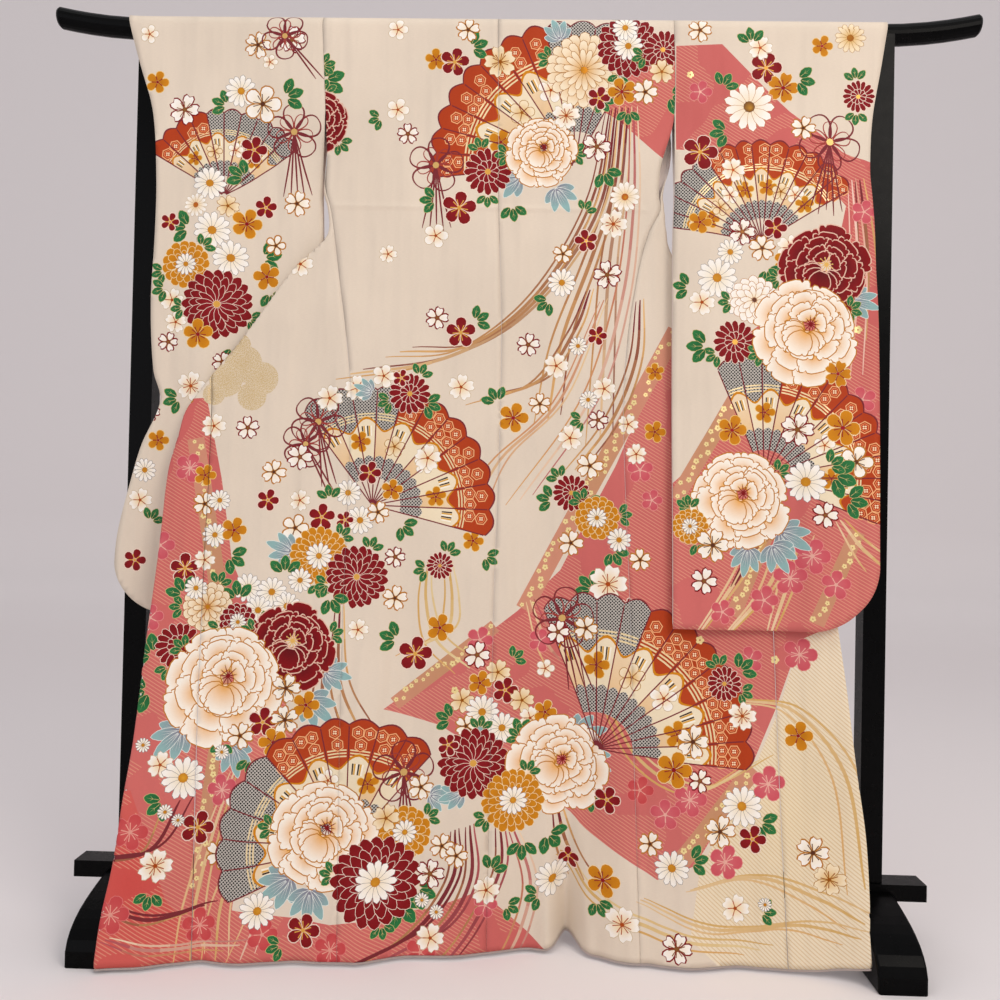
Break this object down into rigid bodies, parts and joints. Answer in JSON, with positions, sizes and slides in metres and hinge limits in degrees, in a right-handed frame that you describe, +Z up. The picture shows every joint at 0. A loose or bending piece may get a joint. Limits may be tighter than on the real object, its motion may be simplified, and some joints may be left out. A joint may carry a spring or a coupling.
{
  "type": "furisode kimono on a kimono stand",
  "caption": "Long-sleeved silk kimono hung over the bar of a black lacquered stand, back to the viewer, fronts spread wide.",
  "frame": {"origin": "on the floor, under the middle of the whole object's box", "axes": "+X to the right of someone who looks at the garment's printed back, +Y away from them, +Z up"},
  "size_m": [1.68, 0.3938, 1.6761],
  "materials": {
    "black_lacquer": "glossy black lacquer over wood",
    "printed_silk": "soft satin silk crepe, cream ground with coral areas and flower print",
    "lining_silk": "plain pale silk lining roll"
  },
  "bodies": {
    "root": {"bar": "black_lacquer", "post_left": "black_lacquer", "post_right": "black_lacquer", "lower_rail": "black_lacquer", "foot_left": "black_lacquer", "foot_right": "black_lacquer", "back_left": "printed_silk", "back_right": "printed_silk", "front_left": "printed_silk", "front_right": "printed_silk", "okumi_left": "printed_silk", "okumi_right": "printed_silk", "collar": "printed_silk", "sleeve_left": "printed_silk", "sleeve_right": "printed_silk", "hem_edging": "lining_silk"}
  },
  "joints": []
}
